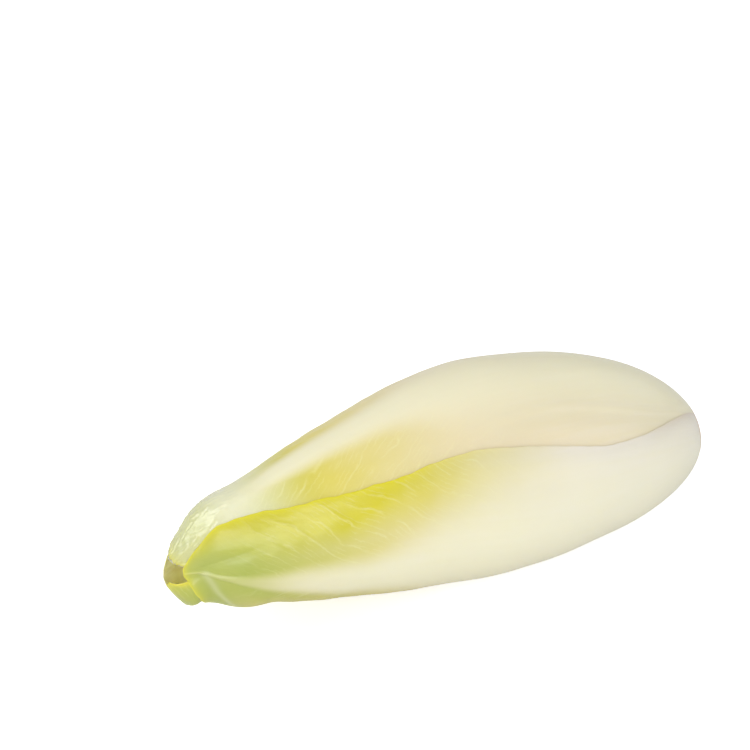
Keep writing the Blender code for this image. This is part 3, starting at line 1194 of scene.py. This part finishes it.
@dataclass
class Core:
    """The stem: a cone of flesh inside the leaf bases, cut flat at the butt."""

    form: HeadForm
    material: Finish
    sides: int = 128
    face_rings: int = 22
    flank_rings: int = 40
    top_layer: float = 0.10
    clearance: float = 0.00004
    face_hollow: float = 0.0003
    face_drop: float = 0.0001
    mark_depth: float = 0.00012
    mark_pace: Pair = (900.0, 260.0)
    ring_place: Pair = (0.66, 0.10)
    rim_brown: Pair = (0.72, 0.98)
    least_brown: float = 0.22
    sharp_angle: float = 35.0
    least_arm: float = 1e-6

    def build(self) -> None:
        """Model and dress the core."""
        Bench.join_head(self.turn(), "core", "cut_stem", self.material)

    def turn(self) -> Piece:
        """Model the cone: a filled circle, extruded into rings and inset into rings.

        Returns:
            The core's piece.
        """
        piece = Bench.column("core_flesh", self.sides, self.flank_rings)
        self.ring_face(piece, top=False)
        self.ring_face(piece, top=True)
        points = Bench.points(piece)
        away = np.hypot(points[:, 0], points[:, 1])
        turns = np.degrees(np.arctan2(points[:, 1], points[:, 0]))
        rise = points[:, 2] / self.flank_rings
        layer = self.form.core_rim_layer + (self.top_layer - self.form.core_rim_layer) * rise
        placed = self.form.point(layer, layer * 0.0, turns)
        axis = self.form.point(layer * 0.0, layer * 0.0, turns)
        middle = np.stack([placed[:, 0], axis[:, 1], self.axis_height(layer)], axis=-1)
        arms = placed - middle
        reach = np.maximum(np.linalg.norm(arms, axis=1, keepdims=True), self.least_arm)
        placed = middle + arms * away[:, None] * (1.0 - self.clearance / reach)
        cut = points[:, 2] < 0.5
        across, up = self.mark_pace
        marks = self.mark_depth * np.sin(across * placed[:, 1] + up * placed[:, 2]) * (1.0 - away ** 6)
        hollow = self.face_drop + np.abs(marks) + self.face_hollow * (1.0 - away ** 2)
        placed[:, 0] -= np.where(cut, hollow, 0.0)
        Bench.place(piece, placed)
        Bench.smooth(piece, self.sharp_angle)
        middle_ring, ring_width = self.ring_place
        Bench.note(piece, "ringed", np.where(cut, bell(away - middle_ring, ring_width), 0.0))
        rim = np.maximum(ease(away, *self.rim_brown), self.least_brown)
        Bench.note(piece, "browned", np.where(cut, rim, 0.0))
        return piece

    def axis_height(self, layer: Array) -> Array:
        """Give the height of the cone's middle line at each ring."""
        low, high = (self.form.point(layer, layer * 0.0, layer * 0.0 + turn) for turn in (-90.0, 90.0))
        return (low[:, 2] + high[:, 2]) / 2.0

    def ring_face(self, piece: Piece, top: bool) -> None:
        """Inset an end face again and again, so that it has rings to shape.

        Args:
            piece: The core's piece.
            top: Whether it is the face at the narrow end.
        """
        height = float(self.flank_rings) if top else 0.0
        for face in piece.data.polygons:
            face.select = len(face.vertices) > 4 and abs(face.center.z - height) < 0.1
        bpy.ops.object.mode_set(mode="EDIT")
        bpy.ops.mesh.select_mode(type="FACE")
        for _ in range(self.face_rings - 1):
            bpy.ops.mesh.inset(thickness=1.0 / self.face_rings)
        bpy.ops.mesh.poke()
        bpy.ops.object.mode_set(mode="OBJECT")


@dataclass
class HeartBud:
    """The heart bud: tiny leaves folded round the growing point, in one slim spindle."""

    form: HeadForm
    material: Finish
    sides: int = 72
    rings: int = 90
    layer: float = 0.09
    base: float = 0.03
    tip: float = 0.56
    neck: float = 0.55
    shoulder: float = 3.0
    taper: float = 0.97
    folds: float = 2.0
    fold_turns: float = 1.4
    fold_depth: float = 0.16
    fold_start: Rise = Rise(0.0, 0.15)
    yellow: Rise = Rise(0.2, 0.8)
    green: Rise = Rise(0.6, 1.0, 0.3)
    fold_edge: Rise = Rise(0.85, 1.0, 0.6)

    def build(self) -> None:
        """Model and dress the bud."""
        Bench.join_head(self.turn(), "heart_bud", LeafRole.INNER.value, self.material)

    def turn(self) -> Piece:
        """Model the spindle: a filled circle, extruded into rings and folded in a spiral.

        Returns:
            The bud's piece, with the numbers that its skin reads.
        """
        piece = Bench.column("heart_bud_leaves", self.sides, self.rings)
        points = Bench.points(piece)
        share = points[:, 2] / self.rings
        turns = np.degrees(np.arctan2(points[:, 1], points[:, 0]))
        station = self.base + (self.tip - self.base) * share
        neck = np.minimum(1.0, self.neck + (1.0 - self.neck) * share * self.shoulder)
        fold = (self.folds * turns / 360.0 + self.fold_turns * share) % 1.0
        layer = self.layer * neck * np.sqrt(1.0 - self.taper * share ** 2)
        layer = layer * (1.0 - self.fold_depth * fold * self.fold_start.at(share))
        Bench.place(piece, self.form.point(layer, station, turns))
        Bench.smooth(piece)
        plain = np.zeros_like(share)
        for name in ("over", "phase", "ribbed", "pale_and_highlight", "veined", "browned", "glossy", "sheer"):
            Bench.note(piece, name, plain)
        Bench.note(piece, "along", share)
        Bench.note(piece, "creamy", plain + 1.0)
        Bench.note(piece, "yellowed", self.yellow.at(share))
        Bench.note(piece, "greened", self.green.at(share))
        Bench.note(piece, "edged", self.fold_edge.at(fold))
        return piece


@dataclass(frozen=True)
class Lamp:
    """A square light: where it hangs and its side, in metres, and its power in watts."""

    name: str
    place: Triple
    size: float
    power: float


@dataclass
class Studio:
    """The pale floor, the soft lights and the camera."""

    azimuth: float = -24.5
    elevation: float = 35.0
    distance: float = 0.539
    aside: float = -0.0161
    above: float = 0.0282
    aim_height: float = 0.025
    lens: float = 100.0
    sensor: float = 36.0
    floor_size: float = 60.0
    floor_drop: float = 0.00005
    floor_colour: Colour = (0.80, 0.80, 0.80)
    floor_roughness: float = 0.9
    floor_shine: float = 0.1
    floor_glow: float = 0.58
    world_strength: float = 0.455
    world_glow: float = 0.55
    clip: Pair = (0.01, 20.0)
    lamps: tuple[Lamp, ...] = (
        Lamp("key", (-0.60, -0.75, 0.60), 0.60, 5.2),
        Lamp("fill", (0.75, -0.70, 0.45), 0.80, 2.6),
        Lamp("window", (-0.66, 0.46, 0.62), 0.62, 3.6),
        Lamp("rim", (0.72, 0.30, 0.36), 0.50, 0.45),
    )

    def build(self) -> None:
        """Set up the floor, the world, the lights and the camera."""
        self.lay_floor()
        self.light()
        self.aim_camera()
        bpy.context.scene.view_settings.view_transform = "Standard"
        LOG.info("studio: floor, lights and camera")

    def lay_floor(self) -> None:
        """Lay the plain floor."""
        Bench.clear()
        bpy.ops.mesh.primitive_plane_add(size=self.floor_size, location=(0.0, 0.0, -self.floor_drop))
        floor = bpy.context.object
        floor.name = "floor"
        material, desk, shader = new_finish("floor_paint")
        shader["Base Color"].default_value = (*self.floor_colour, 1.0)
        shader["Roughness"].default_value = self.floor_roughness
        shader["Specular IOR Level"].default_value = self.floor_shine
        shader["Emission Color"].default_value = WHITE
        seen = desk.put("ShaderNodeLightPath").outputs["Is Camera Ray"]
        desk.feed(shader["Emission Strength"], desk.sum("MULTIPLY", seen, self.floor_glow))
        floor.data.materials.append(material)

    def light(self) -> None:
        """Hang the soft lights in an even white surround."""
        world = bpy.data.worlds.new("studio_air")
        world.use_nodes = True
        back = world.node_tree.nodes["Background"]
        back.inputs["Color"].default_value = WHITE
        desk = Desk(world.node_tree)
        seen = desk.put("ShaderNodeLightPath").outputs["Is Camera Ray"]
        strength = desk.sum("MULTIPLY_ADD", seen, self.world_glow, self.world_strength)
        desk.feed(back.inputs["Strength"], strength)
        bpy.context.scene.world = world
        for lamp in self.lamps:
            self.hang(lamp)

    def hang(self, lamp: Lamp) -> None:
        """Hang one light that faces the head.

        Args:
            lamp: The light.
        """
        light = bpy.data.lights.new(lamp.name, "AREA")
        light.size, light.energy = lamp.size, lamp.power
        holder = bpy.data.objects.new(lamp.name, light)
        bpy.context.collection.objects.link(holder)
        holder.location = lamp.place
        facing = Vector((0.0, 0.0, self.aim_height)) - Vector(lamp.place)
        holder.rotation_euler = facing.to_track_quat("-Z", "Y").to_euler()

    def aim_camera(self) -> None:
        """Stand the camera at the view that the head is shown from."""
        turn, rise = math.radians(self.azimuth), math.radians(self.elevation)
        back = Vector((math.sin(turn) * math.cos(rise), -math.cos(turn) * math.cos(rise), math.sin(rise)))
        right = Vector((math.cos(turn), math.sin(turn), 0.0))
        up = back.cross(right)
        place = Vector((0.0, 0.0, self.aim_height)) + back * self.distance
        place = place + right * self.aside + up * self.above
        camera = bpy.data.cameras.new("camera")
        camera.lens, camera.sensor_width = self.lens, self.sensor
        camera.clip_start, camera.clip_end = self.clip
        holder = bpy.data.objects.new("camera", camera)
        bpy.context.collection.objects.link(holder)
        axes = Matrix((right, up, back)).transposed().to_4x4()
        holder.matrix_world = Matrix.Translation(place) @ axes
        bpy.context.scene.camera = holder


@dataclass
class HeadPlan:
    """Lists the leaves of the head, outermost first."""

    divergence: float = 137.5
    first_turn: float = 15.5
    leaf_count: int = 18
    outer_count: int = 3
    tip_range: Pair = (0.965, 0.62)
    half_range: Pair = (96.0, 84.0)
    corner: Corner = Corner(0.10, 5.0)
    hood_tip: float = 0.995
    hood_half: float = 174.0
    hood_corner: Corner = Corner(0.012, 3.0)
    hood_opening: float = 0.87
    seen_ranks: int = 6

    def draw(self) -> list[LeafForm]:
        """List the outer leaves, then the inner ones."""
        inner = [self.inner(rank) for rank in range(self.outer_count, self.leaf_count)]
        return [self.front(), self.upper(), self.back(), *inner]

    def front(self) -> LeafForm:
        """Draw the outermost leaf, which wraps the front and the belly."""
        return LeafForm(
            "outer_leaf_front", 0,
            Curve(((0.0, -104), (0.4, -126), (0.8, -118), (1.0, -104))),
            Curve(((0.0, 60), (0.12, 41), (0.24, 35), (0.36, 42), (0.5, 50.5),
                   (0.66, 50), (0.78, 57), (0.9, 73), (1.0, 76))),
            0.978, 0.45, Corner(0.070, 1.4), Corner(0.065, 4.0),
            Curve(((0.0, -26), (0.4, -22), (0.64, -14), (0.72, -14), (0.8, -8.5), (0.85, -4),
                   (0.88, 1.5), (0.91, 7.5), (0.93, 13), (0.955, 26), (0.98, 32))),
            Curve(((0.0, 64), (0.3, 56), (0.46, 47), (0.5, 44), (0.556, 35), (0.61, 24), (0.676, 18),
                   (0.741, 16), (0.804, 13), (0.866, 8), (0.91, 3.5), (0.98, 2.0))),
            # The front leaf's strong yellow band under its upper margin is its own yellow, deepened as
            # painted shade in the trough beside the margin.
            blade_yellow=Rise(0.36, 0.80, 0.62), edge_yellow=Rise(0.26, 0.86, 1.50),
            edge_reach=(0.0140, 0.0040), green=Rise(0.60, 0.96), belly_painted_light=0.60,
            rib_fade=Rise(0.70, 0.94, 0.90), veins_rise=Rise(0.36, 0.50), veins_end=Rise(0.94, 0.78),
            tip_waver=0.35,
            seam=Curve(((-75, 0.872), (-53, 0.895), (-32, 0.916), (-16, 0.930), (3.5, 0.940), (29, 0.951))),
        )

    def upper(self) -> LeafForm:
        """Draw the second leaf, which wraps the top."""
        return LeafForm(
            "outer_leaf_upper", 1,
            Curve(((0.0, 22), (0.3, 4), (0.8, 14), (1.0, 24))),
            Curve(((0.0, 172), (0.4, 186), (0.8, 182), (1.0, 176))),
            0.990, -0.10, Corner(0.030, 2.0), Corner(0.040, 2.5),
            Curve(((0.0, 97), (0.5, 95), (0.64, 95), (0.75, 95), (0.82, 94), (0.86, 89.5), (0.91, 78),
                   (0.99, 68))),
            Curve(((0.0, 46), (0.136, 43), (0.2, 40), (0.28, 36), (0.35, 33), (0.43, 31), (0.5, 24),
                   (0.58, 15), (0.7, 12), (0.82, 12), (0.9, 12), (0.99, 9.0))),
            blade_yellow=Rise(0.42, 0.80, 0.76), green=Rise(0.70, 0.92, 0.85),
            rib_fade=Rise(0.84, 0.95), veins_rise=Rise(0.36, 0.56), veins_end=Rise(0.96, 0.84),
            # Painted highlight: the hood is paled towards the rib colour, partly its own pale tone and
            # partly a highlight.
            pale_and_painted_highlight=Rise(0.755, 0.88, 1.30), warmth=0.80, blush=Blush(0.44, 0.24, 0.22),
            blistered=0.00022, tip_waver=0.25,
            ridge=Curve(((0.0, 52), (0.058, 53), (0.136, 52.5), (0.2, 56), (0.278, 60), (0.352, 63),
                         (0.43, 62), (0.5, 60))),
        )

    def back(self) -> LeafForm:
        """Draw the third leaf, which wraps the back and cups the tip."""
        return LeafForm(
            "outer_leaf_back", 2,
            Curve(((0.0, 142), (0.4, 134), (0.8, 138), (1.0, 142))),
            Curve(((0.0, 334), (0.4, 322), (0.8, 338), (0.92, 363), (0.98, 366), (1.0, 346))),
            1.001, -0.45, Corner(0.013, 2.0), Corner(0.001, 1.8),
            Curve(((0.0, 236), (0.6, 232), (0.8, 228), (0.92, 220), (1.01, 208))),
            Curve(((0.0, 56), (0.35, 46), (0.5, 34), (0.65, 18), (0.8, 10), (0.92, 6), (1.01, 2.0))),
            green=Rise(0.66, 0.92, 0.95), edge_reach=(0.0060, 0.0012), tip_waver=0.06,
        )

    def inner(self, rank: int) -> LeafForm:
        """Draw one inner leaf, turned on by the same angle and smaller than the last.

        Args:
            rank: How many leaves lie outside it.

        Returns:
            The leaf's form.
        """
        share = (rank - self.outer_count) / (self.leaf_count - self.outer_count - 1)
        middle = self.first_turn + self.divergence * (rank - self.outer_count)
        half = self.half_range[0] + (self.half_range[1] - self.half_range[0]) * share
        tip = self.tip_range[0] + (self.tip_range[1] - self.tip_range[0]) * share
        rows, columns = (120, 90) if rank < self.seen_ranks else (70, 56)
        corner, end_half = self.corner, half
        if rank == self.outer_count:
            tip, corner, end_half = self.hood_tip, self.hood_corner, self.hood_half
        opened = half + self.hood_opening * (end_half - half)
        halves = ((0.0, half), (0.85, half), (0.91, half), (0.955, opened), (1.0, end_half))
        return LeafForm(
            f"leaf_{rank + 1:02d}", rank,
            Curve(tuple((station, middle - wide) for station, wide in halves)),
            Curve(tuple((station, middle + wide) for station, wide in halves)),
            tip, 0.0, corner, corner,
            Curve(((0.0, middle), (1.0, middle))),
            Curve(((0.0, 45.0), (0.4, 30.0), (0.7, 14.0), (1.0, 3.0))),
            blade_yellow=Rise(0.40, 0.74, 0.25), edge_yellow=Rise(0.22, 0.60, 0.35),
            green=Rise(0.66, 0.92, 0.45), hooded=rank == self.outer_count, rows=rows, columns=columns,
        )


def main() -> None:
    """Build the head and its studio in order."""
    logging.basicConfig(level=logging.INFO, format="%(message)s")
    form = HeadForm(length=2.0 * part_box("core")[1].x)
    veins, flesh = make_vein_group(), make_flesh_group()
    outer_skin = LeafSkin("outer_leaf_skin").make(veins, flesh)
    inner_skin = LeafSkin("inner_leaf_skin", ivory=linear(245, 240, 205)).make(veins, flesh)
    Leaves(LeafStack(form, HeadPlan().draw()), outer_skin, inner_skin).build()
    HeartBud(form, inner_skin).build()
    Core(form, CutFlesh("core_cut_flesh").make(flesh)).build()
    Studio().build()


if __name__ == "__main__":
    main()
